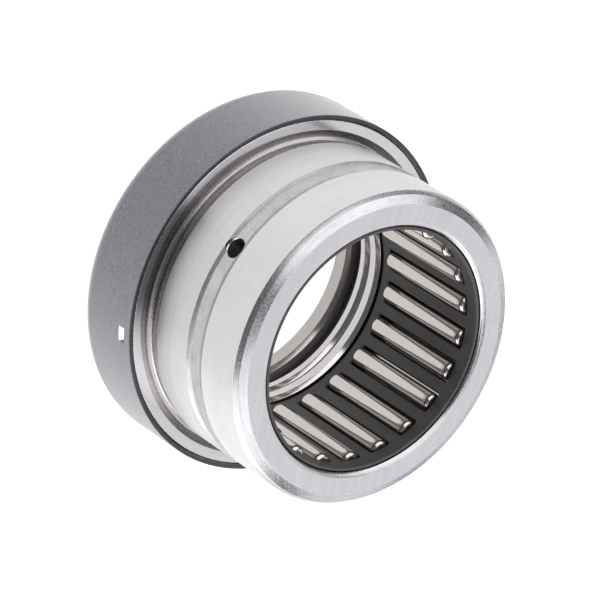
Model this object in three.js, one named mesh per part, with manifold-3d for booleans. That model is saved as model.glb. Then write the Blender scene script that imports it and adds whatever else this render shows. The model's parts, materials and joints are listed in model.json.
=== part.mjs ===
// Combined needle roller and axial ball bearing with a drawn end cap.
// Millimetres, +Z along the bearing axis. Z = 0 is the back face of the shaft washer and
// the ground end face of the sleeve is at Z = LENGTH. The lubrication hole faces -Y.
import * as THREE from "three";
import { mergeVertices } from "three/addons/utils/BufferGeometryUtils.js";
import Module from "manifold-3d";

const wasm = await Module();
wasm.setup();

// Boundary dimensions
const LENGTH = 30; // washer back face to sleeve end face
const SHAFT_RADIUS = 15; // circle inside the needles, and the washer bore
const SLEEVE_RADIUS = 21;
const FLANGE_RADIUS = 23.45;
const FLANGE_FACE_Z = 11;
const FLANGE_BACK_Z = 5.6;
const CAP_RADIUS = 24.1;
const CAP_BACK_Z = 0.5;
const CAP_RIM_Z = 11.2;
const CAP_SHEET = 0.55;
const CAP_CORNER = 2;

// Needle roller half
const NEEDLE_COUNT = 22;
const NEEDLE_RADIUS = 1.25;
const NEEDLE_LENGTH = 15.8;
const NEEDLE_MIDDLE_Z = 19.65;
const NEEDLE_PHASE = 5.9; // degrees from +X to the first needle
const RIB_FRONT_Z = 28.5; // inner faces of the two raceway ribs
const RIB_BACK_Z = 9.65;
const FRONT_RIB_BORE = 16.5;
const BACK_RIB_BORE = 15.35;
const RIB_CHAMFER = 0.45;

// Axial ball half
const BALL_COUNT = 18;
const BALL_RADIUS = 2.381;
const BALL_PITCH_RADIUS = 19.25;
const WASHER_FRONT_Z = 3.9;
const BALL_MIDDLE_Z = (WASHER_FRONT_Z + FLANGE_BACK_Z) / 2;

// Running fits
const RACE_CLEARANCE = 0.04;
const POCKET_CLEARANCE = 0.12;
const CAGE_END_PLAY = 0.1;

const RING_SEGMENTS = 66; // three facets to each needle pitch
const BEVEL = 0.15; // small broken edge

const COLOURS = {
  ground_steel: { color: 0xc9c7cc, roughness: 0.32, metalness: 1 },
  roller_steel: { color: 0xc4bdb6, roughness: 0.25, metalness: 1 },
  phosphated_sheet: { color: 0x7d7d84, roughness: 0.7, metalness: 0.6 },
  dark_cage: { color: 0x4b4648, roughness: 0.6, metalness: 0 },
};

const bearing = new THREE.Group();

function add(name, geometry, colour) {
  const mesh = new THREE.Mesh(geometry, new THREE.MeshStandardMaterial(COLOURS[colour]));
  mesh.name = name;
  bearing.add(mesh);
  return mesh;
}

// The radius at which a faceted bore's corners lie when its flats just touch `radius`.
function bored(radius) {
  return radius / Math.cos(Math.PI / RING_SEGMENTS);
}

// Turns a closed (radius, z) outline, listed counter-clockwise, about Z.
function turned(outline, segments = RING_SEGMENTS) {
  const points = [...outline, outline[0]].map(([radius, z]) => new THREE.Vector2(radius, z));
  return new THREE.LatheGeometry(points, segments).rotateX(Math.PI / 2);
}

// Points on an arc in the (radius, z) plane, angles in degrees from the outward direction.
function arc(centreRadius, centreZ, radius, from, to, steps) {
  return Array.from({ length: steps + 1 }, (_, i) => {
    const angle = THREE.MathUtils.degToRad(from + ((to - from) * i) / steps);
    return [centreRadius + radius * Math.cos(angle), centreZ + radius * Math.sin(angle)];
  });
}

function toSolid(geometry) {
  const bare = geometry.clone();
  bare.deleteAttribute("normal");
  bare.deleteAttribute("uv");
  const merged = mergeVertices(bare, 1e-4);
  const vertProperties = new Float32Array(merged.attributes.position.array);
  const triVerts = new Uint32Array(merged.index.array);
  return new wasm.Manifold(new wasm.Mesh({ numProp: 3, vertProperties, triVerts }));
}

function toGeometry(solid) {
  const mesh = solid.getMesh();
  const geometry = new THREE.BufferGeometry();
  geometry.setAttribute("position", new THREE.BufferAttribute(mesh.vertProperties, 3));
  geometry.setIndex(new THREE.BufferAttribute(mesh.triVerts, 1));
  return geometry;
}

function cut(blank, tools) {
  const solid = tools.reduce((left, tool) => left.subtract(toSolid(tool)), toSolid(blank));
  return toGeometry(solid);
}

// Where the i-th of `count` pieces stands round the axis, as an angle in radians.
function station(i, count, phase = 0) {
  return (2 * Math.PI * i) / count + THREE.MathUtils.degToRad(phase);
}

function twoDigits(i) {
  return String(i + 1).padStart(2, "0");
}

// A ball groove runs a little deeper and wider than the ball, so that its facets stay clear.
const GROOVE_RADIUS = BALL_RADIUS * 1.05;
const GROOVE_CLEARANCE = 0.06;
const GROOVE_STEPS = 8;

function grooveArc(faceZ, side) {
  const bottomZ = BALL_MIDDLE_Z + side * (BALL_RADIUS + GROOVE_CLEARANCE);
  const centreZ = bottomZ - side * GROOVE_RADIUS;
  const edge = THREE.MathUtils.radToDeg(Math.asin((faceZ - centreZ) / GROOVE_RADIUS));
  const far = side > 0 ? 180 - edge : -180 - edge;
  return arc(BALL_PITCH_RADIUS, centreZ, GROOVE_RADIUS, far, edge, GROOVE_STEPS);
}

// ---- End cap: drawn sheet cup that holds the two halves together ----
const CAP_LIP_RADIUS = 20.35;

// Staking marks: a tab of the sheet, hinged along its lower edge, has been pushed in at its
// upper edge, under the shoulder of the groove in the flange.
const STAKE_ANGLES = [313.3, 133.3]; // degrees from +X
const STAKE_Z = 9.42;
const STAKE_HEIGHT = 1.15;
const STAKE_LENGTH = 2.1;
const STAKE_DEPTH = 0.9;

// Extrudes a closed (radius, z) section, listed counter-clockwise, across the radius at `angle`.
function prism(angle, section, length) {
  const shape = new THREE.Shape(section.map(([radius, z]) => new THREE.Vector2(radius, z)));
  const block = new THREE.ExtrudeGeometry(shape, { depth: length, bevelEnabled: false });
  block.translate(0, 0, -length / 2).rotateX(Math.PI / 2);
  return block.rotateZ(THREE.MathUtils.degToRad(angle));
}

function endCap() {
  const inner = CAP_RADIUS - CAP_SHEET;
  const cornerRadius = CAP_RADIUS - CAP_CORNER;
  const cornerZ = CAP_BACK_Z + CAP_CORNER;
  const outline = [
    [CAP_LIP_RADIUS, CAP_BACK_Z],
    ...arc(cornerRadius, cornerZ, CAP_CORNER, -90, 0, 5),
    [CAP_RADIUS, CAP_RIM_Z - 0.1],
    [CAP_RADIUS - 0.1, CAP_RIM_Z],
    [inner, CAP_RIM_Z],
    ...arc(cornerRadius, cornerZ, CAP_CORNER - CAP_SHEET, 0, -90, 4),
    [CAP_LIP_RADIUS, CAP_BACK_Z + CAP_SHEET],
  ];
  const low = STAKE_Z - STAKE_HEIGHT / 2;
  const high = STAKE_Z + STAKE_HEIGHT / 2;
  const tip = CAP_RADIUS - STAKE_DEPTH;
  const outside = CAP_RADIUS + 1;
  const dent = [
    [tip, high],
    [outside, low - STAKE_HEIGHT / STAKE_DEPTH],
    [outside, high],
  ];
  const wall = 0.15;
  const behind = [
    [tip - 2 * wall, low - wall],
    [inner + CAP_SHEET / 2, low - wall],
    [inner + CAP_SHEET / 2, high + wall],
    [tip - 2 * wall, high + wall],
  ];
  let cap = toSolid(turned(outline));
  for (const angle of STAKE_ANGLES) {
    cap = cap.add(toSolid(prism(angle, behind, STAKE_LENGTH + 2 * wall)));
    cap = cap.subtract(toSolid(prism(angle, dent, STAKE_LENGTH)));
  }
  return toGeometry(cap);
}

// ---- Outer ring: sleeve, needle raceway between two ribs, flange with ball groove ----
function outerRing() {
  const lubeGroove = { front: 22.35, frontWall: 0.8, back: 19.1, backWall: 0.42, depth: 0.42 };
  const relief = { radius: 20.45, edgeZ: 12.75, slope: 0.5, bottomZ: 10.55, outerRadius: 22 };
  const stakeGroove = { radius: 22.8, topZ: STAKE_Z + 0.85, bottomZ: STAKE_Z - 0.85 };
  const ribGroove = { front: 8.05, back: 7.35, radius: BACK_RIB_BORE + 0.65 };
  const raceway = bored(SHAFT_RADIUS + 2 * NEEDLE_RADIUS + RACE_CLEARANCE);
  const outline = [
    // back face with the ball groove, from the bore outwards
    [BACK_RIB_BORE + RIB_CHAMFER, FLANGE_BACK_Z],
    ...grooveArc(FLANGE_BACK_Z, 1),
    [FLANGE_RADIUS - 0.3, FLANGE_BACK_Z],
    [FLANGE_RADIUS, FLANGE_BACK_Z + 0.3],
    // rim of the flange, with the groove that the cap is staked into
    [FLANGE_RADIUS, stakeGroove.bottomZ],
    [stakeGroove.radius, stakeGroove.bottomZ],
    [stakeGroove.radius, stakeGroove.topZ],
    [FLANGE_RADIUS, stakeGroove.topZ],
    [FLANGE_RADIUS, FLANGE_FACE_Z - BEVEL],
    [FLANGE_RADIUS - BEVEL, FLANGE_FACE_Z],
    // grinding relief in the corner between flange and sleeve
    [relief.outerRadius, FLANGE_FACE_Z],
    [relief.outerRadius - 0.9, relief.bottomZ],
    [relief.radius, relief.bottomZ + 0.25],
    [relief.radius, relief.edgeZ - relief.slope],
    [SLEEVE_RADIUS, relief.edgeZ],
    // ground seat with the lubrication groove
    [SLEEVE_RADIUS, lubeGroove.back],
    [SLEEVE_RADIUS - lubeGroove.depth, lubeGroove.back + lubeGroove.backWall],
    [SLEEVE_RADIUS - lubeGroove.depth, lubeGroove.front - lubeGroove.frontWall],
    [SLEEVE_RADIUS, lubeGroove.front],
    // lead-in chamfer and end face
    [SLEEVE_RADIUS, LENGTH - 1.03],
    [SLEEVE_RADIUS - 0.45, LENGTH - 0.47],
    [SLEEVE_RADIUS - 1.57, LENGTH],
    [FRONT_RIB_BORE + 0.65, LENGTH],
    [FRONT_RIB_BORE + 0.2, LENGTH - 0.1],
    [FRONT_RIB_BORE, LENGTH - 0.3],
    // raceway between the ribs
    [FRONT_RIB_BORE, RIB_FRONT_Z],
    [raceway, RIB_FRONT_Z],
    [raceway, RIB_BACK_Z],
    // rear rib, parted by a turned groove into two lips, each with its front edge chamfered
    [BACK_RIB_BORE + RIB_CHAMFER, RIB_BACK_Z],
    [BACK_RIB_BORE, RIB_BACK_Z - RIB_CHAMFER],
    [BACK_RIB_BORE, ribGroove.front],
    [ribGroove.radius, ribGroove.front],
    [ribGroove.radius, ribGroove.back],
    [BACK_RIB_BORE + RIB_CHAMFER, ribGroove.back],
    [BACK_RIB_BORE, ribGroove.back - RIB_CHAMFER],
    [BACK_RIB_BORE, FLANGE_BACK_Z + RIB_CHAMFER],
  ];
  const holeRadius = 1.33;
  const holeZ = 20.5;
  const drill = new THREE.CylinderGeometry(holeRadius, holeRadius, 6, 24);
  drill.translate(0, -(SLEEVE_RADIUS - 1), holeZ);
  return cut(turned(outline), [drill]);
}

// ---- Shaft washer: turns with the shaft, stepped so that the cap's lip holds it ----
function shaftWasher() {
  const bossRadius = CAP_LIP_RADIUS - 0.35;
  const stepZ = CAP_BACK_Z + CAP_SHEET + 0.1;
  const outerRadius = 22.9;
  const bore = bored(SHAFT_RADIUS);
  const backChamfer = 1.45; // clears the root of a shaft shoulder
  const frontChamfer = 0.5;
  return turned([
    [bore, backChamfer],
    [bore + backChamfer, 0],
    [bossRadius - BEVEL, 0],
    [bossRadius, BEVEL],
    [bossRadius, stepZ],
    [outerRadius - 0.9, stepZ],
    [outerRadius, stepZ + 0.95],
    [outerRadius, WASHER_FRONT_Z - BEVEL],
    [outerRadius - BEVEL, WASHER_FRONT_Z],
    ...grooveArc(WASHER_FRONT_Z, -1).reverse(),
    [bore + frontChamfer, WASHER_FRONT_Z],
    [bore, WASHER_FRONT_Z - frontChamfer],
  ]);
}

// ---- Needle cage: one window for each needle ----
const CAGE_BORE = 15.9;
const CAGE_OUTSIDE = 17.2;
const CAGE_COLLAR = FRONT_RIB_BORE - 0.15; // runs through the front rib
const CAGE_FRONT_Z = LENGTH - 0.35;
const CAGE_BACK_Z = RIB_BACK_Z + 0.45;
const WINDOW_CLEARANCE = 0.25; // beside a needle

function needleCage() {
  const frontZ = RIB_FRONT_Z - CAGE_END_PLAY;
  const blank = turned([
    [CAGE_BORE, CAGE_BACK_Z],
    [CAGE_OUTSIDE, CAGE_BACK_Z],
    [CAGE_OUTSIDE, frontZ],
    [CAGE_COLLAR, frontZ],
    [CAGE_COLLAR, CAGE_FRONT_Z],
    [CAGE_BORE, CAGE_FRONT_Z],
  ]);
  const windowWidth = 2 * (NEEDLE_RADIUS + WINDOW_CLEARANCE);
  const windowLength = NEEDLE_LENGTH + 2 * POCKET_CLEARANCE;
  const windows = Array.from({ length: NEEDLE_COUNT }, (_, i) => {
    const slot = new THREE.BoxGeometry(4, windowWidth, windowLength);
    slot.translate(SHAFT_RADIUS + NEEDLE_RADIUS, 0, NEEDLE_MIDDLE_Z);
    return slot.rotateZ(station(i, NEEDLE_COUNT, NEEDLE_PHASE));
  });
  return cut(blank, windows);
}

// ---- Needle: cylinder with broken end corners, standing along Z about its own middle ----
function needle() {
  const corner = 0.3;
  const half = NEEDLE_LENGTH / 2;
  return new THREE.LatheGeometry(
    [
      new THREE.Vector2(0, -half),
      new THREE.Vector2(NEEDLE_RADIUS - corner, -half),
      new THREE.Vector2(NEEDLE_RADIUS, corner - half),
      new THREE.Vector2(NEEDLE_RADIUS, half - corner),
      new THREE.Vector2(NEEDLE_RADIUS - corner, half),
      new THREE.Vector2(0, half),
    ],
    12,
  ).rotateX(Math.PI / 2);
}

// ---- Ball cage: flat ring with a round pocket for each ball ----
function ballCage() {
  const bore = 16.6;
  const outside = 22.2;
  const halfThickness = 0.6;
  const blank = turned([
    [bore, BALL_MIDDLE_Z - halfThickness],
    [outside, BALL_MIDDLE_Z - halfThickness],
    [outside, BALL_MIDDLE_Z + halfThickness],
    [bore, BALL_MIDDLE_Z + halfThickness],
  ]);
  const pocketRadius = BALL_RADIUS + POCKET_CLEARANCE;
  const pockets = Array.from({ length: BALL_COUNT }, (_, i) => {
    const pocket = new THREE.CylinderGeometry(pocketRadius, pocketRadius, 4, 18);
    pocket.rotateX(Math.PI / 2).translate(BALL_PITCH_RADIUS, 0, BALL_MIDDLE_Z);
    return pocket.rotateZ(station(i, BALL_COUNT));
  });
  return cut(blank, pockets);
}

add("outer_ring", outerRing(), "ground_steel");
add("end_cap", endCap(), "phosphated_sheet");
add("shaft_washer", shaftWasher(), "ground_steel");
add("needle_cage", needleCage(), "dark_cage");
add("ball_cage", ballCage(), "dark_cage");

for (let i = 0; i < NEEDLE_COUNT; i += 1) {
  const roller = add(`needle_${twoDigits(i)}`, needle(), "roller_steel");
  const angle = station(i, NEEDLE_COUNT, NEEDLE_PHASE);
  const pitchRadius = SHAFT_RADIUS + NEEDLE_RADIUS;
  roller.position.set(pitchRadius * Math.cos(angle), pitchRadius * Math.sin(angle), NEEDLE_MIDDLE_Z);
  roller.rotation.z = angle;
}

for (let i = 0; i < BALL_COUNT; i += 1) {
  const ball = add(`ball_${twoDigits(i)}`, new THREE.SphereGeometry(BALL_RADIUS, 10, 7), "roller_steel");
  const angle = station(i, BALL_COUNT);
  ball.position.set(
    BALL_PITCH_RADIUS * Math.cos(angle),
    BALL_PITCH_RADIUS * Math.sin(angle),
    BALL_MIDDLE_Z,
  );
  ball.rotation.z = angle;
}

export default bearing;
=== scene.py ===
"""A combined needle roller and axial ball bearing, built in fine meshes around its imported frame."""
import json
import math

import bmesh
import bpy
from mathutils import Matrix, Vector


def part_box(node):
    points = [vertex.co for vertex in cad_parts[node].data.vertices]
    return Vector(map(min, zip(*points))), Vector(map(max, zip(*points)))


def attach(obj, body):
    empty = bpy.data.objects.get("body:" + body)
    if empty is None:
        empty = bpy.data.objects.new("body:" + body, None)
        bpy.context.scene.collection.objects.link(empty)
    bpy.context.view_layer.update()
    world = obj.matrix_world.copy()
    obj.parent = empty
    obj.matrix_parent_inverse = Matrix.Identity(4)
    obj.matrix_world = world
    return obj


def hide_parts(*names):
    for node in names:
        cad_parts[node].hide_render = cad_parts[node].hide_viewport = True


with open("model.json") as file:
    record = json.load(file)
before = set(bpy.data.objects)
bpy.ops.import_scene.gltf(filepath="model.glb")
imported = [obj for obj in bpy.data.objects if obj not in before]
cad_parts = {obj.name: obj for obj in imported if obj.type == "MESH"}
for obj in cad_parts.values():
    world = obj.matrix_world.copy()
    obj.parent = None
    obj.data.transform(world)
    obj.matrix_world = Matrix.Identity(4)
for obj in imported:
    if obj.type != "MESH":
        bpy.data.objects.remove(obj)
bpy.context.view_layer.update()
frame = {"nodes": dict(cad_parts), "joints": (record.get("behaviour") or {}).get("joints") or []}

MM = 0.001  # outlines below are in millimetres
SLIVER = 2e-6  # metres; points closer than this are merged
TAU = 2 * math.pi


# ---------------------------------------------------------------- dimensions from the frame
def box_mm(node):
    """A node's lowest and highest corners, in millimetres."""
    low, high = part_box(node)
    return low / MM, high / MM


ring_low, ring_high = box_mm("outer_ring")
cap_low, cap_high = box_mm("end_cap")
washer_low, washer_high = box_mm("shaft_washer")
cage_low, cage_high = box_mm("needle_cage")
ball_cage_low, ball_cage_high = box_mm("ball_cage")

SLEEVE_END = ring_high.z
FLANGE_BACK = ring_low.z
FLANGE_RADIUS = ring_high.x
CAP_RADIUS = cap_high.x
CAP_BACK = cap_low.z
CAP_RIM = cap_high.z
WASHER_BACK = washer_low.z
WASHER_FRONT = washer_high.z
WASHER_RADIUS = washer_high.x
BALL_MIDDLE = (WASHER_FRONT + FLANGE_BACK) / 2

joints = {joint["name"]: joint for joint in frame["joints"]}


def numbered_nodes(stem):
    """The names of the nodes called `stem` and a number, in order."""
    return sorted(
        name for name in frame["nodes"] if name.startswith(stem) and name[len(stem):].isdigit()
    )


def joint_place(name):
    """Middle of a rolling piece and the azimuth at which it stands, from its joint."""
    x, y, z = joints[name + "_spin"]["pos_m"]
    return Vector((x, y, z)), math.atan2(y, x)


needle_names = numbered_nodes("needle_")
ball_names = numbered_nodes("ball_")
NEEDLE_MIDDLE = joint_place(needle_names[0])[0].z / MM


# ---------------------------------------------------------------- the bearing's other dimensions
SHAFT_RADIUS = 15.0
SLEEVE_RADIUS = 21.0
FLANGE_FACE = 11.0

NEEDLE_RADIUS = 1.25
NEEDLE_LENGTH = 15.8
RACE_CLEARANCE = 0.04
RIB_FRONT, RIB_BACK = 28.5, 9.65  # inner faces of the two raceway ribs
FRONT_RIB_BORE = 16.5
BACK_RIB_BORE = 15.35
RIB_CHAMFER = 0.45

BALL_RADIUS = 2.381
BALL_PITCH = 19.25
GROOVE_RADIUS = BALL_RADIUS * 1.05
GROOVE_CLEARANCE = 0.06

POCKET_CLEARANCE = 0.12  # round a ball, and beyond a needle's ends
WINDOW_CLEARANCE = 0.25  # beside a needle
CAGE_END_PLAY = 0.1

LUBE_GROOVE_FRONT, LUBE_GROOVE_BACK = 22.35, 19.1
LUBE_GROOVE_DEPTH = 0.42
LUBE_GROOVE_RADIUS = SLEEVE_RADIUS - LUBE_GROOVE_DEPTH
LUBE_HOLE_Z = 20.5
LUBE_HOLE_RADIUS = 1.33

CAP_SHEET = 0.55
CAP_CORNER = 2.0
CAP_LIP = 20.35  # radius of the hole in the cap's back
STAKE_ANGLES = (313.3, 133.3)  # degrees from +X
STAKE_Z = 9.42
STAKE_LENGTH, STAKE_HEIGHT, STAKE_DEPTH = 2.1, 1.15, 0.9


# ---------------------------------------------------------------- node materials
LINE_SLANT = 1.37  # how fast turning lines go by along Z, against along the radius


class Material:
    """A principled material. Its methods add nodes and return their output sockets."""

    def __init__(self, name, **sockets):
        self.data = bpy.data.materials.new(name)
        self.data.use_nodes = True
        self.tree = self.data.node_tree
        self.shader = self.tree.nodes["Principled BSDF"]
        for socket, value in sockets.items():
            self.shader.inputs[socket.replace("_", " ")].default_value = value

    def node(self, kind, settings=None, **inputs):
        """Adds a node. Inputs are numbers, colours or another node's output socket, and go by the
        socket's name, or as i0, i1 and so on by its place."""
        node = self.tree.nodes.new("ShaderNode" + kind)
        for key, value in (settings or {}).items():
            setattr(node, key, value)
        for key, value in inputs.items():
            by_place = key[0] == "i" and key[1:].isdigit()
            self.feed(node.inputs[int(key[1:]) if by_place else key], value)
        return node

    def feed(self, socket, value):
        if isinstance(value, bpy.types.NodeSocket):
            self.tree.links.new(value, socket)
        else:
            socket.default_value = value

    def math(self, operation, first, second):
        return self.node("Math", {"operation": operation}, i0=first, i1=second).outputs[0]

    def weighted(self, first, first_weight, second, second_weight):
        return self.math(
            "ADD",
            self.math("MULTIPLY", first, first_weight),
            self.math("MULTIPLY", second, second_weight),
        )

    def position(self):
        """Object coordinates, which keep to the piece as it turns."""
        return self.node("TexCoord").outputs["Object"]

    def turned_position(self, along, across):
        """Coordinates stretched round the Z axis, so that a noise becomes turning or grinding lines.
        `along` and `across` are the line length and the line pitch, in metres."""
        x, y, z = self.node("SeparateXYZ", Vector=self.position()).outputs
        flat = self.node("CombineXYZ", X=x, Y=y).outputs[0]
        radius = self.node("VectorMath", {"operation": "LENGTH"}, i0=flat).outputs["Value"]
        profile = self.math("ADD", radius, self.math("MULTIPLY", z, LINE_SLANT))
        return self.node(
            "CombineXYZ",
            X=self.math("DIVIDE", x, along),
            Y=self.math("DIVIDE", y, along),
            Z=self.math("DIVIDE", profile, across),
        ).outputs[0]

    def noise(self, vector, scale=1.0, detail=3.0, roughness=0.6):
        return self.node(
            "TexNoise", Vector=vector, Scale=scale, Detail=detail, Roughness=roughness
        ).outputs["Fac"]

    def cloud(self, scale, detail, roughness=0.6):
        """A noise with no direction. `scale` is in cells per metre."""
        return self.noise(self.position(), scale, detail, roughness)

    def lines(self, along, across, detail=3.0):
        """A noise drawn out into lines round the axis."""
        return self.noise(self.turned_position(along, across), detail=detail)

    def span(self, value, low, high, from_low=0.3, from_high=0.7):
        """Maps a noise onto the range low to high."""
        ends = {"From Min": from_low, "From Max": from_high, "To Min": low, "To Max": high}
        return self.node("MapRange", Value=value, **ends).outputs[0]

    def mix(self, factor, first, second):
        node = self.node("Mix", {"data_type": "RGBA"}, Factor=factor)
        self.feed(node.inputs[6], first)
        self.feed(node.inputs[7], second)
        return node.outputs[2]

    def mottle(self, value, colour, dark, bright, from_low=0.3, from_high=0.7):
        """The colour, from `dark` times to `bright` times itself along a noise."""
        factor = self.span(value, 0, 1, from_low, from_high)
        return self.mix(factor, shade(colour, dark), shade(colour, bright))

    def bump(self, height, distance):
        return self.node("Bump", Height=height, Distance=distance).outputs[0]

    def link(self, **sockets):
        """Feeds the shader, and returns the finished Blender material."""
        for socket, value in sockets.items():
            self.tree.links.new(value, self.shader.inputs[socket.replace("_", " ")])
        return self.data


def shade(colour, factor):
    return (*(min(1.0, channel * factor) for channel in colour), 1.0)


def ground_steel(name, colour, roughness, tarnish=0.06, anisotropic=0.45):
    """Cylindrically ground steel: fine lines round the axis, dark specks and faint tarnish."""
    material = Material(name, Metallic=1.0, Anisotropic=anisotropic, Anisotropic_Rotation=0.25)
    fine = material.lines(along=0.009, across=0.00018, detail=4)
    coarse = material.lines(along=0.030, across=0.00090, detail=2)
    cloud = material.cloud(scale=160, detail=4)
    grain = material.cloud(scale=5200, detail=2)
    streak = material.weighted(fine, 0.6, coarse, 0.4)
    base = material.mottle(streak, colour, dark=0.88, bright=1.10)
    specks = material.span(grain, 0.18, 0, from_low=0.35, from_high=0.6)
    speckled = material.mix(specks, base, shade(colour, 0.70))
    aged = material.mix(material.span(cloud, 0, tarnish * 4), speckled, shade(colour, 0.72))
    height = material.weighted(streak, 0.9, grain, 0.35)
    return material.link(
        Base_Color=aged,
        Roughness=material.span(streak, roughness - 0.05, roughness + 0.06),
        Normal=material.bump(height, distance=0.000006),
        Tangent=material.node("Tangent", {"direction_type": "RADIAL", "axis": "Z"}).outputs[0],
    )


def face_ground_steel(name, colour, roughness):
    """Disc-ground flat face: two families of nearly straight arcs crossing each other."""
    arc_centres = ((-0.070, 0.130, 0.0), (0.120, 0.095, 0.0))
    line_pitch = 0.00011
    wander_scale = 60
    material = Material(name, Metallic=1.0)
    families = []
    for centre in arc_centres:
        reach = material.node(
            "VectorMath", {"operation": "DISTANCE"}, i0=material.position(), i1=centre
        ).outputs["Value"]
        sweep = material.node("CombineXYZ", X=material.math("DIVIDE", reach, line_pitch)).outputs[0]
        wander = material.node(
            "VectorMath", {"operation": "MULTIPLY_ADD"},
            i0=material.position(), i1=(wander_scale,) * 3, i2=sweep,
        ).outputs[0]
        families.append(material.noise(wander))
    lines = material.weighted(families[0], 0.65, families[1], 0.35)
    cloud = material.cloud(scale=220, detail=4)
    grain = material.cloud(scale=6000, detail=2)
    base = material.mottle(lines, colour, dark=0.80, bright=1.10)
    return material.link(
        Base_Color=material.mix(material.span(cloud, 0, 0.25), base, shade(colour, 0.82)),
        Roughness=material.span(lines, roughness - 0.05, roughness + 0.08),
        Normal=material.bump(material.weighted(lines, 1.0, grain, 0.4), distance=0.000007),
    )


def grainy_steel(name, colour, roughness, contrast=0.5, grain_size=0.00022, depth=0.000014):
    """Turned and heat-treated steel that wasn't ground: coarse grain over turning lines."""
    material = Material(name, Metallic=1.0)
    lines = material.lines(along=0.006, across=0.00016)
    grain = material.cloud(scale=1 / grain_size, detail=4, roughness=0.7)
    cloud = material.cloud(scale=420, detail=3)
    both = material.weighted(lines, 0.45, grain, 0.55)
    base = material.mottle(both, colour, dark=1 - contrast * 0.5, bright=1 + contrast * 0.25)
    stain = material.span(cloud, 0, contrast * 0.5, from_low=0.45, from_high=0.75)
    return material.link(
        Base_Color=material.mix(stain, base, shade(colour, 0.55)),
        Roughness=material.span(grain, roughness - 0.08, roughness + 0.12),
        Normal=material.bump(both, distance=depth),
    )


def roller_steel(name, colour, roughness):
    """Lapped rolling element: nearly even, with faint hairlines and handling marks."""
    material = Material(name, Metallic=1.0)
    hairline = material.lines(along=0.0008, across=0.00012)
    cloud = material.cloud(scale=900, detail=4)
    base = material.mottle(hairline, colour, dark=0.93, bright=1.04)
    handled = material.span(cloud, 0, 0.3, from_low=0.4, from_high=0.8)
    return material.link(
        Base_Color=material.mix(handled, base, shade(colour, 0.80)),
        Roughness=material.span(cloud, roughness - 0.03, roughness + 0.06),
        Normal=material.bump(hairline, distance=0.000002),
    )


def phosphated_sheet(name, colour, bloom):
    """Drawn sheet with a crystalline phosphate coat: dark crystals with bare metal glinting between
    them, clouds of the `bloom` colour, and rubbed in places."""
    crystal_range = {"from_low": 0.36, "from_high": 0.64}
    material = Material(name, IOR=2.2, Sheen_Weight=1.0, Sheen_Roughness=0.50)
    crystal = material.node(
        "TexVoronoi", {"feature": "F1"}, Vector=material.position(), Scale=5200, Randomness=1.0
    ).outputs["Distance"]
    speckle = material.cloud(scale=6400, detail=2, roughness=0.7)
    cloud = material.cloud(scale=130, detail=5)
    drawn = material.lines(along=0.0015, across=0.004)
    base = material.mottle(speckle, colour, dark=0.40, bright=1.75, **crystal_range)
    patchy = material.mix(material.span(cloud, 0, 0.6), base, shade(bloom, 1.0))
    rubbed = material.span(drawn, 0, 0.35, from_low=0.5, from_high=0.75)
    return material.link(
        Base_Color=material.mix(rubbed, patchy, shade(colour, 0.84)),
        Metallic=material.span(speckle, 0.75, 0.0, **crystal_range),
        Roughness=material.span(speckle, 0.36, 0.52),
        Normal=material.bump(material.weighted(crystal, 0.4, speckle, 0.8), distance=0.000040),
    )


def moulded_polymer(name, colour, roughness):
    """Glass-filled moulded cage: charcoal with a fine fibre mottle and faint flow streaks."""
    material = Material(name)
    fibre = material.cloud(scale=3800, detail=4, roughness=0.7)
    flow = material.lines(along=0.004, across=0.0011, detail=4)
    base = material.mottle(fibre, colour, dark=0.50, bright=1.60)
    streak = material.span(flow, 0, 0.5, from_low=0.4, from_high=0.75)
    return material.link(
        Base_Color=material.mix(streak, base, shade(colour, 1.5)),
        Roughness=material.span(fibre, roughness - 0.08, roughness + 0.1),
        Normal=material.bump(fibre, distance=0.000012),
    )


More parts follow.
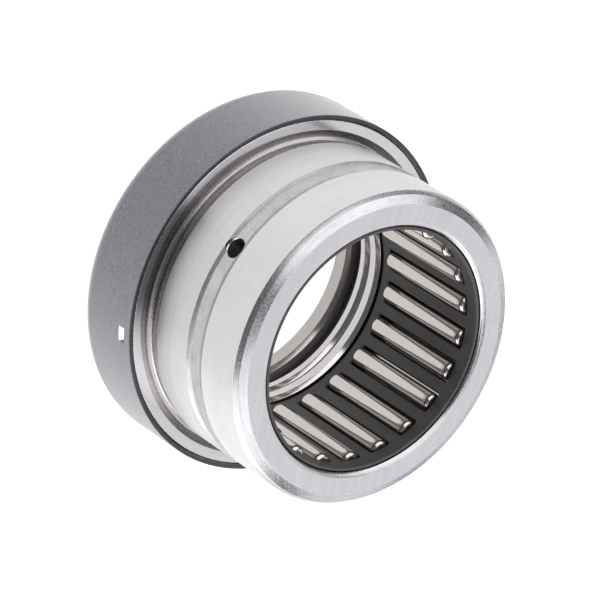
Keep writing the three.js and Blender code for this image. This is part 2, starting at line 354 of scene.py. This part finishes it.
MATERIALS = {
    # the outer ring; the washer shares its end_face, race and rib
    "seat": ground_steel("ground_seat", (0.66, 0.652, 0.664), 0.34, anisotropic=0.85),
    "flange_face": ground_steel(
        "turned_flange", (0.60, 0.59, 0.595), 0.13, tarnish=0.08, anisotropic=0.3
    ),
    "end_face": face_ground_steel("ground_end_face", (0.66, 0.647, 0.675), 0.36),
    "bevel": grainy_steel("turned_bevel", (0.58, 0.57, 0.58), 0.20, contrast=0.45),
    "chamfer": grainy_steel("turned_chamfer", (0.62, 0.61, 0.63), 0.22, contrast=0.6),
    "lead_in": grainy_steel("turned_lead_in", (0.56, 0.55, 0.57), 0.28, contrast=0.6),
    "edge": grainy_steel("tumbled_edge", (0.74, 0.73, 0.74), 0.24, contrast=0.25),
    "relief": grainy_steel(
        "heat_treated_relief", (0.45, 0.430, 0.426), 0.22, contrast=0.6, grain_size=0.00015
    ),
    "groove": grainy_steel("turned_groove", (0.56, 0.55, 0.56), 0.42, contrast=0.9, depth=0.00003),
    "hole": grainy_steel("drilled_hole", (0.36, 0.34, 0.34), 0.45, contrast=0.7),
    "race": ground_steel("honed_race", (0.60, 0.58, 0.56), 0.20, tarnish=0.03),
    "rib": ground_steel("turned_rib", (0.63, 0.61, 0.605), 0.14, tarnish=0.05),
    # the shaft washer
    "washer_face": ground_steel("washer_face", (0.40, 0.385, 0.385), 0.62, tarnish=0.08),
    "washer_bore": ground_steel("washer_bore", (0.47, 0.447, 0.436), 0.18, tarnish=0.04),
    # the end cap
    "sheet": phosphated_sheet("phosphate_coat", (0.041, 0.038, 0.058), bloom=(0.048, 0.048, 0.098)),
    "sheared": grainy_steel(
        "sheared_sheet", (0.80, 0.79, 0.78), 0.28, contrast=0.12, depth=0.000002
    ),
    # near-black cut edges: partly the sheet's dark coat, partly painted shade for the shadowed gap between
    # the cap's rim and the flange
    "cut_edge_and_shade": grainy_steel("cut_sheet_edge_painted_shade", (0.10, 0.10, 0.11), 0.5, contrast=0.6),
    # rolling elements and cages
    "needle": roller_steel("needle_steel", (0.58, 0.545, 0.52), 0.10),
    "needle_end": grainy_steel("needle_end_face", (0.45, 0.43, 0.41), 0.30, contrast=0.4),
    "ball": roller_steel("ball_steel", (0.72, 0.71, 0.70), 0.06),
    "cage": moulded_polymer("needle_cage_polymer", (0.060, 0.054, 0.056), 0.52),
    "ball_cage": moulded_polymer("ball_cage_polymer", (0.045, 0.042, 0.044), 0.5),
}


# ---------------------------------------------------------------- mesh making
FILLET_STEP = 18  # degrees between the points of a fillet
SHARP_ANGLE = 28  # degrees; shading breaks at sharper edges
FLAT_WEIGHT = 100  # how strongly large faces lead the shading
OFF_AXIS = 0.0001  # a turned outline stays this far off the axis


def arc_points(centre, radius, start, end, step=5):
    """Points on an arc in the (radius, z) plane, angles in degrees from the outward direction."""
    count = max(2, math.ceil(abs(end - start) / step))
    angles = [math.radians(start + (end - start) * i / count) for i in range(count + 1)]
    return [(centre[0] + radius * math.cos(a), centre[1] + radius * math.sin(a)) for a in angles]


def rounded_outline(corners):
    """Closed outline [(radius, z, surface), ...] from (radius, z, fillet, surface) corners, in which
    `surface` names what starts at that corner. Each fillet becomes an arc. It changes from one surface
    to the next half way round, except that a corner named "edge" is edge all the way."""
    outline = []
    for i, (r, z, fillet, surface) in enumerate(corners):
        if not fillet:
            outline.append((r, z, surface))
            continue
        incoming = corners[i - 1][3]
        here = Vector((r, z))
        before = (Vector(corners[i - 1][:2]) - here).normalized()
        after = (Vector(corners[(i + 1) % len(corners)][:2]) - here).normalized()
        half_opening = before.angle(after) / 2
        tangent = fillet / math.tan(half_opening)
        start, end = here + before * tangent, here + after * tangent
        centre = here + (before + after).normalized() * fillet / math.sin(half_opening)
        first = math.atan2(start.y - centre.y, start.x - centre.x)
        turn = math.atan2(end.y - centre.y, end.x - centre.x) - first
        turn = (turn + math.pi) % TAU - math.pi
        steps = max(2, math.ceil(abs(turn) / math.radians(FILLET_STEP)))
        for k in range(steps + 1):
            angle = first + turn * k / steps
            point = centre + fillet * Vector((math.cos(angle), math.sin(angle)))
            changed = surface == "edge" or k >= steps / 2
            outline.append((point.x, point.y, surface if changed else incoming))
    return outline


def new_object(name, vertices, faces, surfaces, face_surfaces):
    """A mesh object in metres from millimetre vertices, with one material for each surface."""
    mesh = bpy.data.meshes.new(name)
    mesh.from_pydata([Vector(v) * MM for v in vertices], [], faces)
    for surface in surfaces:
        mesh.materials.append(MATERIALS[surface])
    mesh.polygons.foreach_set("material_index", [surfaces.index(s) for s in face_surfaces])
    mesh.validate()
    piece = bpy.data.objects.new(name, mesh)
    bpy.context.scene.collection.objects.link(piece)
    return piece


def smooth(piece):
    """Smooth shading that breaks at real edges, with flats kept flat."""
    mesh = piece.data
    mesh.polygons.foreach_set("use_smooth", [True] * len(mesh.polygons))
    mesh.set_sharp_from_angle(angle=math.radians(SHARP_ANGLE))
    weighted = piece.modifiers.new("even_normals", "WEIGHTED_NORMAL")
    weighted.keep_sharp = True
    weighted.weight = FLAT_WEIGHT
    return piece


def weld(mesh):
    """Merges points that lie together, drops what has no area and turns the faces outwards."""
    work = bmesh.new()
    work.from_mesh(mesh)
    bmesh.ops.remove_doubles(work, verts=work.verts, dist=SLIVER)
    bmesh.ops.dissolve_degenerate(work, edges=work.edges, dist=SLIVER)
    bmesh.ops.recalc_face_normals(work, faces=work.faces)
    work.to_mesh(mesh)
    work.free()


def around(points, turn):
    """(azimuth, r, z) points as (x, y, z), turned about Z."""
    return [(r * math.cos(a + turn), r * math.sin(a + turn), z) for a, r, z in points]


def turned(name, outline, segments):
    """Turns a closed (radius, z, surface) outline, listed counter-clockwise, about Z."""
    count = len(outline)
    surfaces = list(dict.fromkeys(surface for _, _, surface in outline))
    vertices, faces, face_surfaces = [], [], []
    for i in range(segments):
        vertices += around([(0, r, z) for r, z, _ in outline], TAU * i / segments)
        here, there = i * count, (i + 1) % segments * count
        for k in range(count):
            following = (k + 1) % count
            faces.append((here + k, there + k, there + following, here + following))
            face_surfaces.append(outline[k][2])
    return new_object(name, vertices, faces, surfaces, face_surfaces)


def boolean(piece, tool, operation):
    """Joins or cuts `piece` with `tool`, whose materials show on the new faces."""
    modifier = piece.modifiers.new(operation, "BOOLEAN")
    modifier.operation = operation
    modifier.solver = "EXACT"
    modifier.material_mode = "TRANSFER"
    modifier.object = tool
    depsgraph = bpy.context.evaluated_depsgraph_get()
    result = bpy.data.meshes.new_from_object(piece.evaluated_get(depsgraph))
    piece.modifiers.clear()
    weld(result)
    old = piece.data
    result.name = old.name
    piece.data = result
    bpy.data.meshes.remove(old)
    bpy.data.objects.remove(tool)


def prism(name, angle, section, length, surface):
    """A (radius, z) section, listed counter-clockwise, drawn out to `length` across the radius at `angle`."""
    count = len(section)
    vertices = [(r, side * length / 2, z) for side in (-1, 1) for r, z in section]
    faces = [tuple(range(count)), tuple(range(2 * count - 1, count - 1, -1))]
    faces += [(k, k + count, (k + 1) % count + count, (k + 1) % count) for k in range(count)]
    block = new_object(name, vertices, faces, [surface], [surface] * len(faces))
    block.data.transform(Matrix.Rotation(math.radians(angle), 4, "Z"))
    return block


def punched_ring(name, count, phase, loops, profiles, stations, surface):
    """A ring with `count` like holes. `loops` run from the cell's boundary on one side, down the hole, to
    the boundary on the other side, as lists of (azimuth, r, z). `profiles` are the two (r, z) sections that
    close the ring beyond the holes, and `stations` are the azimuths that part them into strips."""
    sides = len(loops[0])
    strips = [
        [(left, *low), (right, *low), (right, *high), (left, *high)]
        for profile in profiles
        for left, right in zip(stations, stations[1:])
        for low, high in zip(profile, profile[1:])
    ]
    vertices, faces = [], []
    for cell in range(count):
        turn = phase + TAU * cell / count
        start = len(vertices)
        for loop in loops:
            vertices += around(loop, turn)
        for k in range(len(loops) - 1):
            first, second = start + k * sides, start + (k + 1) * sides
            for i in range(sides):
                j = (i + 1) % sides
                faces.append((first + i, first + j, second + j, second + i))
        for strip in strips:
            faces.append(tuple(range(len(vertices), len(vertices) + len(strip))))
            vertices += around(strip, turn)
    piece = new_object(name, vertices, faces, [surface], [surface] * len(faces))
    weld(piece.data)
    return piece


# ---------------------------------------------------------------- outer ring
def groove_arc(face_z, side, after):
    """The ball groove in a face, as outline corners: side 1 for the outer ring above the balls, -1 for
    the washer below. `after` is the surface that follows it."""
    bottom = BALL_MIDDLE + side * (BALL_RADIUS + GROOVE_CLEARANCE)
    centre = bottom - side * GROOVE_RADIUS
    outer_edge = math.degrees(math.asin((face_z - centre) / GROOVE_RADIUS))
    inner_edge = side * 180 - outer_edge
    first, last = (inner_edge, outer_edge) if side > 0 else (outer_edge, inner_edge)
    *points, end = arc_points((BALL_PITCH, centre), GROOVE_RADIUS, first, last)
    return [(r, z, 0, "race") for r, z in points] + [(*end, 0, after)]


def make_drill():
    """The tool that cuts the lubrication hole, a little wider from the groove's floor outwards."""
    inner_end, outer_end = 16.0, 22.0
    edge_width, edge_depth = 0.08, 0.12
    wide = LUBE_HOLE_RADIUS + edge_width
    drill = turned("drill", [
        (OFF_AXIS, inner_end, "hole"),
        (LUBE_HOLE_RADIUS, inner_end, "hole"),
        (LUBE_HOLE_RADIUS, LUBE_GROOVE_RADIUS - edge_depth, "edge"),
        (wide, LUBE_GROOVE_RADIUS, "edge"),
        (wide, outer_end, "hole"),
        (OFF_AXIS, outer_end, "hole"),
    ], segments=64)
    lay_along_y = Matrix.Rotation(math.radians(90), 4, "X")
    drill.data.transform(Matrix.Translation((0, 0, LUBE_HOLE_Z * MM)) @ lay_along_y)
    return drill


def make_outer_ring():
    race_radius = SHAFT_RADIUS + 2 * NEEDLE_RADIUS + RACE_CLEARANCE
    rib_root = BACK_RIB_BORE + RIB_CHAMFER
    rib_groove_front, rib_groove_back, rib_groove_radius = 8.05, 7.35, 16.0
    stake_groove_front, stake_groove_back, stake_groove_radius = 10.3, 8.6, 22.8
    relief_radius, relief_outer, relief_floor, relief_front = 20.45, 22.0, 10.55, 12.75
    relief_back_width, relief_rise, relief_slope = 0.9, 0.25, 0.5
    lube_back_wall, lube_front_wall = 0.42, 0.80
    lead_in_z, lead_in_depth = SLEEVE_END - 1.03, 0.45
    chamfer_z, chamfer_depth = SLEEVE_END - 0.47, 1.57
    bevel_radius, bevel_z = FRONT_RIB_BORE + 0.65, SLEEVE_END - 0.3
    bevel_break = (FRONT_RIB_BORE + 0.2, SLEEVE_END - 0.1)  # where its slope steepens
    back_corner, face_corner = 0.3, 0.15
    back_face = [
        (rib_root, FLANGE_BACK, 0.10, "rib"),
        *groove_arc(FLANGE_BACK, 1, "rib"),
        (FLANGE_RADIUS - back_corner, FLANGE_BACK, 0.08, "rib"),
    ]
    flange_rim = [
        (FLANGE_RADIUS, FLANGE_BACK + back_corner, 0.08, "rib"),
        (FLANGE_RADIUS, stake_groove_back, 0.05, "groove"),
        (stake_groove_radius, stake_groove_back, 0.05, "groove"),
        (stake_groove_radius, stake_groove_front, 0.05, "groove"),
        (FLANGE_RADIUS, stake_groove_front, 0.05, "rib"),
        (FLANGE_RADIUS, FLANGE_FACE - face_corner, 0.05, "edge"),
        (FLANGE_RADIUS - face_corner, FLANGE_FACE, 0.05, "flange_face"),
    ]
    grinding_relief = [
        (relief_outer, FLANGE_FACE, 0.12, "relief"),
        (relief_outer - relief_back_width, relief_floor, 0.35, "relief"),
        (relief_radius, relief_floor + relief_rise, 0.35, "relief"),
        (relief_radius, relief_front - relief_slope, 0.30, "relief"),
    ]
    seat = [
        (SLEEVE_RADIUS, relief_front, 0.10, "seat"),
        (SLEEVE_RADIUS, LUBE_GROOVE_BACK, 0.10, "groove"),
        (LUBE_GROOVE_RADIUS, LUBE_GROOVE_BACK + lube_back_wall, 0.60, "groove"),
        (LUBE_GROOVE_RADIUS, LUBE_GROOVE_FRONT - lube_front_wall, 1.50, "groove"),
        (SLEEVE_RADIUS, LUBE_GROOVE_FRONT, 0.10, "seat"),
    ]
    sleeve_end = [
        (SLEEVE_RADIUS, lead_in_z, 0.25, "lead_in"),
        (SLEEVE_RADIUS - lead_in_depth, chamfer_z, 0.30, "chamfer"),
        (SLEEVE_RADIUS - chamfer_depth, SLEEVE_END, 0.25, "end_face"),
        (bevel_radius, SLEEVE_END, 0.15, "bevel"),
        (*bevel_break, 0.15, "bevel"),
        (FRONT_RIB_BORE, bevel_z, 0.08, "rib"),
    ]
    raceway = [
        (FRONT_RIB_BORE, RIB_FRONT, 0.05, "rib"),
        (race_radius, RIB_FRONT, 0.05, "race"),
        (race_radius, RIB_BACK, 0.05, "rib"),
    ]
    # the rear rib is parted by a turned groove into two lips, each with its front edge chamfered
    rear_rib = [
        (rib_root, RIB_BACK, 0.08, "rib"),
        (BACK_RIB_BORE, RIB_BACK - RIB_CHAMFER, 0.05, "rib"),
        (BACK_RIB_BORE, rib_groove_front, 0.05, "rib"),
        (rib_groove_radius, rib_groove_front, 0.05, "groove"),
        (rib_groove_radius, rib_groove_back, 0.05, "groove"),
        (rib_root, rib_groove_back, 0.08, "rib"),
        (BACK_RIB_BORE, rib_groove_back - RIB_CHAMFER, 0.08, "rib"),
        (BACK_RIB_BORE, FLANGE_BACK + RIB_CHAMFER, 0.12, "rib"),
    ]
    corners = back_face + flange_rim + grinding_relief + seat + sleeve_end + raceway + rear_rib
    ring = turned("outer_ring_steel", rounded_outline(corners), segments=264)
    boolean(ring, make_drill(), "DIFFERENCE")
    return smooth(ring)


# ---------------------------------------------------------------- end cap
def make_end_cap():
    inner = CAP_RADIUS - CAP_SHEET
    corners = [
        (CAP_LIP, CAP_BACK, 0.08, "sheet"),
        (CAP_RADIUS, CAP_BACK, CAP_CORNER, "sheet"),
        # the rim's cut edge is near black: its dark coat plus painted shade for the gap beside the flange
        (CAP_RADIUS, CAP_RIM, 0.12, "cut_edge_and_shade"),
        (inner, CAP_RIM, 0.06, "sheet"),
        (inner, CAP_BACK + CAP_SHEET, CAP_CORNER - CAP_SHEET, "sheet"),
        (CAP_LIP, CAP_BACK + CAP_SHEET, 0.08, "cut_edge_and_shade"),
    ]
    cap = turned("end_cap_sheet", rounded_outline(corners), segments=288)
    # a tab of the sheet, hinged along its lower edge, is pushed in at its upper edge
    low, high = STAKE_Z - STAKE_HEIGHT / 2, STAKE_Z + STAKE_HEIGHT / 2
    tip, outside = CAP_RADIUS - STAKE_DEPTH, CAP_RADIUS + 1
    dent = [(tip, high), (outside, low - STAKE_HEIGHT / STAKE_DEPTH), (outside, high)]
    wall, in_sheet = 0.15, inner + CAP_SHEET / 2
    behind = [
        (tip - 2 * wall, low - wall),
        (in_sheet, low - wall),
        (in_sheet, high + wall),
        (tip - 2 * wall, high + wall),
    ]
    for angle in STAKE_ANGLES:
        boolean(cap, prism("pushed_in", angle, behind, STAKE_LENGTH + 2 * wall, "sheet"), "UNION")
        boolean(cap, prism("dent", angle, dent, STAKE_LENGTH, "sheared"), "DIFFERENCE")
    return smooth(cap)


# ---------------------------------------------------------------- shaft washer
def make_shaft_washer():
    boss_radius = CAP_LIP - 0.35
    step_z = CAP_BACK + CAP_SHEET + 0.1
    back_chamfer, front_chamfer = 1.45, 0.5
    shoulder_width, shoulder_height = 0.9, 0.95
    corners = [
        (SHAFT_RADIUS, WASHER_BACK + back_chamfer, 0.12, "rib"),
        (SHAFT_RADIUS + back_chamfer, WASHER_BACK, 0.15, "end_face"),
        (boss_radius, WASHER_BACK, 0.12, "rib"),
        (boss_radius, step_z, 0.10, "rib"),
        (WASHER_RADIUS - shoulder_width, step_z, 0.10, "rib"),
        (WASHER_RADIUS, step_z + shoulder_height, 0.10, "rib"),
        (WASHER_RADIUS, WASHER_FRONT, 0.15, "washer_face"),
        *groove_arc(WASHER_FRONT, -1, "washer_face"),
        (SHAFT_RADIUS + front_chamfer, WASHER_FRONT, 0.10, "washer_bore"),
        (SHAFT_RADIUS, WASHER_FRONT - front_chamfer, 0.05, "washer_bore"),
    ]
    return smooth(turned("shaft_washer_steel", rounded_outline(corners), segments=256))


# ---------------------------------------------------------------- cages
CORNER_STEPS, SIDE_STEPS, END_STEPS = 4, 7, 4  # round a needle's window
POCKET_SIDES = 32
RIM_STEPS = 3  # round the rim of a window or pocket
BEND_STEP = 30  # degrees between the points of a cage's other bends


def stretch(first, last, steps):
    """Evenly spaced points from `first` on, stopping short of `last`."""
    return [tuple(a + (b - a) * k / steps for a, b in zip(first, last)) for k in range(steps)]


def window_loop(half_width, half_height, corner, radius, grow):
    """A rounded window's outline on the cylinder of that radius, as (azimuth, r, z)."""
    width, height, bend = half_width + grow, half_height + grow, corner + grow
    bends = []
    for quarter, (side, end) in enumerate(((1, 1), (-1, 1), (-1, -1), (1, -1))):
        x, z = side * (width - bend), end * (height - bend)
        angles = [math.pi / 2 * (quarter + k / CORNER_STEPS) for k in range(CORNER_STEPS + 1)]
        bends.append([(x + bend * math.cos(a), z + bend * math.sin(a)) for a in angles])
    points = []
    for quarter, steps in enumerate((END_STEPS, SIDE_STEPS, END_STEPS, SIDE_STEPS)):
        following = bends[(quarter + 1) % 4]
        points += bends[quarter] + stretch(bends[quarter][-1], following[0], steps)[1:]
    return [(math.asin(x / radius), radius, z) for x, z in points]


def cell_boundary(targets, sides, corner_at):
    """A cell's rectangular boundary as (azimuth, along) pairs, in the order of the hole's loops.
    `targets` are its four corners and `corner_at` the loop indices that belong to them."""
    points = [None] * sides
    for k, at in enumerate(corner_at):
        following = (k + 1) % 4
        span = (corner_at[following] - at) % sides
        for i, point in enumerate(stretch(targets[k], targets[following], span)):
            points[(at + i) % sides] = point
    return points


def boundary_stations(boundary, edge):
    """The azimuths of the boundary points that lie on its `edge` line."""
    return sorted(azimuth for azimuth, along in boundary if math.isclose(along, edge))


def hole_depths(first, last, fillet, between=()):
    """(place, growth) pairs down a hole with rounded rims, and at the shares `between` of its depth."""
    rim = []
    for k in range(RIM_STEPS + 1):
        angle = math.pi / 2 * k / RIM_STEPS
        rim.append((fillet * (1 - math.cos(angle)), fillet * (1 - math.sin(angle))))
    return [
        *((first + depth, grow) for depth, grow in rim),
        *((first + (last - first) * share, 0) for share in between),
        *((last - depth, grow) for depth, grow in reversed(rim)),
    ]


def make_needle_cage():
    inner, outer, collar = 15.9, 17.2, FRONT_RIB_BORE - 0.15
    back, front, tip = cage_low.z, RIB_FRONT - CAGE_END_PLAY, cage_high.z
    half_width = NEEDLE_RADIUS + WINDOW_CLEARANCE
    half_height = NEEDLE_LENGTH / 2 + POCKET_CLEARANCE
    rim_fillet, window_corner = 0.10, 0.28
    window = []
    for radius, grow in hole_depths(inner, outer, rim_fillet):
        loop = window_loop(half_width, half_height, window_corner, radius, grow)
        window.append([(a, r, NEEDLE_MIDDLE + z) for a, r, z in loop])
    margin = 0.6  # from a window's ends to the rings that close the cage
    low, high = NEEDLE_MIDDLE - half_height - margin, NEEDLE_MIDDLE + half_height + margin
    half_azimuth = math.pi / len(needle_names)
    targets = [(half_azimuth, high), (-half_azimuth, high), (-half_azimuth, low), (half_azimuth, low)]
    end_run, side_run = CORNER_STEPS + END_STEPS, CORNER_STEPS + SIDE_STEPS
    top, left = CORNER_STEPS // 2, CORNER_STEPS // 2 + end_run
    corner_at = (top, left, left + side_run, left + side_run + end_run)
    boundary = cell_boundary(targets, len(window[0]), corner_at)
    loops = [[(a, inner, z) for a, z in boundary], *window, [(a, outer, z) for a, z in boundary]]
    lead_in, collar_bend, bend = 0.2, 0.1, 0.12
    front_profile = [
        (inner, high),
        *arc_points((inner + lead_in, tip - lead_in), lead_in, 180, 90, step=22),
        *arc_points((collar - collar_bend, tip - collar_bend), collar_bend, 90, 0, BEND_STEP),
        (collar, front),
        *arc_points((outer - bend, front - bend), bend, 90, 0, BEND_STEP),
        (outer, high),
    ]
    back_profile = [
        (inner, low),
        *arc_points((inner + bend, back + bend), bend, 180, 270, BEND_STEP),
        *arc_points((outer - bend, back + bend), bend, 270, 360, BEND_STEP),
        (outer, low),
    ]
    return smooth(punched_ring(
        "needle_cage_moulding", len(needle_names), joint_place(needle_names[0])[1],
        loops, (front_profile, back_profile), boundary_stations(boundary, high), "cage",
    ))


def make_ball_cage():
    bottom, top = ball_cage_low.z, ball_cage_high.z
    # the web between a pocket and the bore is thin, so the bore's edges are rounded less
    bore, bore_bend = 16.6, 0.06
    outside, outside_bend = 22.2, 0.15
    rim_fillet = 0.05
    half_azimuth = math.pi / len(ball_names)

    def pocket_loop(z, grow):
        """A round pocket's outline at height z; its wall follows the ball."""
        pocket = BALL_RADIUS + POCKET_CLEARANCE
        radius = math.sqrt(pocket ** 2 - (z - BALL_MIDDLE) ** 2) + grow
        points = []
        for k in range(POCKET_SIDES):
            angle = TAU * (k / POCKET_SIDES + 1 / 8)
            x, y = BALL_PITCH + radius * math.cos(angle), radius * math.sin(angle)
            points.append((math.atan2(y, x), math.hypot(x, y), z))
        return points

    depths = hole_depths(bottom, top, rim_fillet, between=(0.3, 0.5, 0.7))
    pockets = [pocket_loop(z, grow) for z, grow in depths]
    low, high = bore + bore_bend, outside - outside_bend
    targets = [(half_azimuth, high), (half_azimuth, low), (-half_azimuth, low), (-half_azimuth, high)]
    boundary = cell_boundary(targets, POCKET_SIDES, range(0, POCKET_SIDES, POCKET_SIDES // 4))
    loops = [[(a, r, bottom) for a, r in boundary], *pockets, [(a, r, top) for a, r in boundary]]
    outer_profile = [
        (high, bottom),
        *arc_points((high, bottom + outside_bend), outside_bend, -90, 0, BEND_STEP),
        *arc_points((high, top - outside_bend), outside_bend, 0, 90, BEND_STEP),
    ]
    inner_profile = [
        (low, bottom),
        *arc_points((low, bottom + bore_bend), bore_bend, 270, 180, BEND_STEP),
        *arc_points((low, top - bore_bend), bore_bend, 180, 90, BEND_STEP),
    ]
    return smooth(punched_ring(
        "ball_cage_moulding", len(ball_names), 0.0,
        loops, (outer_profile, inner_profile), boundary_stations(boundary, high), "ball_cage",
    ))


# ---------------------------------------------------------------- rolling elements
NEEDLE_SEGMENTS = 40
BALL_CUTS = 15  # across each face of the cube that a ball starts as


def needle_outline():
    """Half outline of a needle: slightly relieved towards its ends, rounded corners, dished end faces."""
    half, corner = NEEDLE_LENGTH / 2, 0.50
    dish_middle, dish_depth, dish_floor, dish_radius = 0.05, 0.04, 0.40, 0.60
    end_relief, slight_relief = 0.006, 0.002
    slight_at, full_radius_at = 1.1, 2.0  # from the needle's end
    bend_middle = (NEEDLE_RADIUS - end_relief - corner, corner - half)
    lower = [
        (0.0, dish_middle - half, "needle_end"),
        (dish_floor, dish_depth - half, "needle_end"),
        (dish_radius, -half, "needle_end"),
        *[(r, z, "needle") for r, z in arc_points(bend_middle, corner, -90, 0, step=11)],
        (NEEDLE_RADIUS - slight_relief, slight_at - half, "needle"),
        (NEEDLE_RADIUS, full_radius_at - half, "needle"),
    ]
    return lower + [(r, -z, surface) for r, z, surface in reversed(lower)]


def make_needle(name):
    middle, azimuth = joint_place(name)
    foot, *rows, top = needle_outline()
    count = len(rows)
    foot_at, top_at = 0, 1
    vertices, faces, face_surfaces = [(0, 0, foot[1]), (0, 0, top[1])], [], []
    for i in range(NEEDLE_SEGMENTS):
        here = len(vertices)
        there = here + count if i + 1 < NEEDLE_SEGMENTS else 2
        vertices += around([(0, r, z) for r, z, _ in rows], TAU * i / NEEDLE_SEGMENTS)
        for k in range(count - 1):
            faces.append((here + k, there + k, there + k + 1, here + k + 1))
            at_end = "needle_end" in (rows[k][2], rows[k + 1][2])
            face_surfaces.append("needle_end" if at_end else "needle")
        faces.append((foot_at, there, here))
        faces.append((top_at, here + count - 1, there + count - 1))
        face_surfaces += ["needle_end", "needle_end"]
    needle = new_object(name + "_roller", vertices, faces, ["needle", "needle_end"], face_surfaces)
    needle.data.transform(Matrix.Rotation(azimuth, 4, "Z"))
    needle.location = middle
    return smooth(needle)


def make_ball(name):
    """A ball as an even grid of quads, a cube's faces pushed out to the sphere."""
    middle, azimuth = joint_place(name)
    grid = bmesh.new()
    bmesh.ops.create_cube(grid, size=2.0)
    bmesh.ops.subdivide_edges(grid, edges=grid.edges, cuts=BALL_CUTS, use_grid_fill=True)
    for vertex in grid.verts:
        even = Vector([math.tan(c * math.pi / 4) for c in vertex.co])
        vertex.co = even.normalized() * BALL_RADIUS * MM
    ball = new_object(name + "_lapped", [(0, 0, 0)], [], ["ball"], [])
    grid.to_mesh(ball.data)
    grid.free()
    ball.data.transform(Matrix.Rotation(azimuth, 4, "Z"))
    ball.location = middle
    ball.data.polygons.foreach_set("use_smooth", [True] * len(ball.data.polygons))
    return ball


# ---------------------------------------------------------------- the pieces on their bodies
def fit(piece, node, body):
    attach(piece, body)
    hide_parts(node)


fit(make_outer_ring(), "outer_ring", "housing")
fit(make_end_cap(), "end_cap", "housing")
fit(make_shaft_washer(), "shaft_washer", "shaft_washer")
fit(make_needle_cage(), "needle_cage", "needle_cage")
fit(make_ball_cage(), "ball_cage", "ball_cage")
for needle_name in needle_names:
    fit(make_needle(needle_name), needle_name, needle_name)
for ball_name in ball_names:
    fit(make_ball(ball_name), ball_name, ball_name)


# ---------------------------------------------------------------- camera
VIEW_AZIMUTH = 3.74  # degrees, 0 looks along +Y
VIEW_ELEVATION = 45.96
VIEW_ROLL = 122.67
VIEW_DISTANCE = 0.6508  # metres
VIEW_LENS = 311.3  # millimetres
CLIP_NEAR, CLIP_FAR = 0.01, 20
AIM = Vector((-0.15, -1.24, 15.0)) * MM


def make_camera():
    azimuth, elevation = math.radians(VIEW_AZIMUTH), math.radians(VIEW_ELEVATION)
    back = Vector((
        math.sin(azimuth) * math.cos(elevation),
        -math.cos(azimuth) * math.cos(elevation),
        math.sin(elevation),
    ))
    level = Vector((math.cos(azimuth), math.sin(azimuth), 0))
    right = Matrix.Rotation(math.radians(VIEW_ROLL), 3, back) @ level
    up = back.cross(right)
    turn = Matrix((right, up, back)).transposed().to_4x4()
    camera = bpy.data.objects.new("camera", bpy.data.cameras.new("camera"))
    camera.data.lens = VIEW_LENS
    camera.data.clip_start, camera.data.clip_end = CLIP_NEAR, CLIP_FAR
    camera.matrix_world = Matrix.Translation(AIM + back * VIEW_DISTANCE) @ turn
    bpy.context.scene.collection.objects.link(camera)
    bpy.context.scene.camera = camera


# ---------------------------------------------------------------- floor, world and lights, in metres
FLOOR_REACH = 1.5
FLOOR_DROP = 0.0002  # keeps the floor clear of the washer's back face
TABLE_GLOW = 0.95
ROOM_COLOUR = (0.94, 0.94, 1.0, 1)
ROOM_BRIGHTNESS = 0.16
OVERHEAD = 0.8
OVERHEAD_TURN = -9.8  # degrees


def make_floor():
    """A plain white light table."""
    corners = [(x * FLOOR_REACH, y * FLOOR_REACH, 0) for x, y in ((-1, -1), (1, -1), (1, 1), (-1, 1))]
    floor = bpy.data.objects.new("floor", bpy.data.meshes.new("floor"))
    floor.data.from_pydata(corners, [], [(0, 1, 2, 3)])
    floor.location.z = -FLOOR_DROP
    material = Material(
        "light_table", Base_Color=(0.3, 0.3, 0.3, 1), Roughness=0.6,
        Emission_Color=(1, 1, 1, 1), Emission_Strength=TABLE_GLOW,
    )
    floor.data.materials.append(material.data)
    bpy.context.scene.collection.objects.link(floor)


def make_world():
    """A dim room; the light comes from the panels and the floor."""
    world = bpy.data.worlds.new("studio")
    bpy.context.scene.world = world
    world.use_nodes = True
    background = world.node_tree.nodes["Background"]
    background.inputs["Color"].default_value = ROOM_COLOUR
    background.inputs["Strength"].default_value = ROOM_BRIGHTNESS


def make_panel(name, middle, size, brightness, facing, turn=0.0):
    """A soft panel of even brightness. It shines along `facing`, turned about it in degrees."""
    light = bpy.data.lights.new(name, "AREA")
    light.shape = "RECTANGLE"
    light.size, light.size_y = size
    light.energy = brightness * math.pi * size[0] * size[1]
    panel = bpy.data.objects.new(name, light)
    panel.location = middle
    aim = Vector(facing).to_track_quat("-Z", "Y")
    panel.rotation_mode = "QUATERNION"
    panel.rotation_quaternion = aim @ Matrix.Rotation(math.radians(turn), 3, "Z").to_quaternion()
    bpy.context.scene.collection.objects.link(panel)


def make_overhead(name, middle, size, brightness):
    """A level panel over the bearing. `middle` and `size` are shares of its height."""
    place = (middle[0] * OVERHEAD, middle[1] * OVERHEAD, OVERHEAD)
    spread = (size[0] * OVERHEAD, size[1] * OVERHEAD)
    make_panel(name, place, spread, brightness, (0, 0, -1), OVERHEAD_TURN)


make_camera()
make_floor()
make_world()
make_overhead("left_panel", middle=(-1.10, -0.52), size=(1.90, 2.50), brightness=1.5)
make_overhead("right_panel", middle=(0.98, 0.46), size=(1.50, 1.10), brightness=1.5)
make_panel("back_side", middle=(-0.02, 0.9, 0.62), size=(1.1, 1.0), brightness=0.98, facing=(0, -1, 0))
make_panel("right_side", middle=(0.9, 0.25, 0.37), size=(1.4, 0.7), brightness=1.8, facing=(-1, 0, 0))
make_panel(
    "right_strip", middle=(0.85, 0.21, 0.25), size=(0.42, 0.48), brightness=1.8, facing=(-1, 0, 0)
)
make_panel("left_side", middle=(-0.9, -0.25, 0.36), size=(0.7, 0.6), brightness=0.4, facing=(1, 0, 0))
bpy.context.scene.view_settings.view_transform = "Standard"
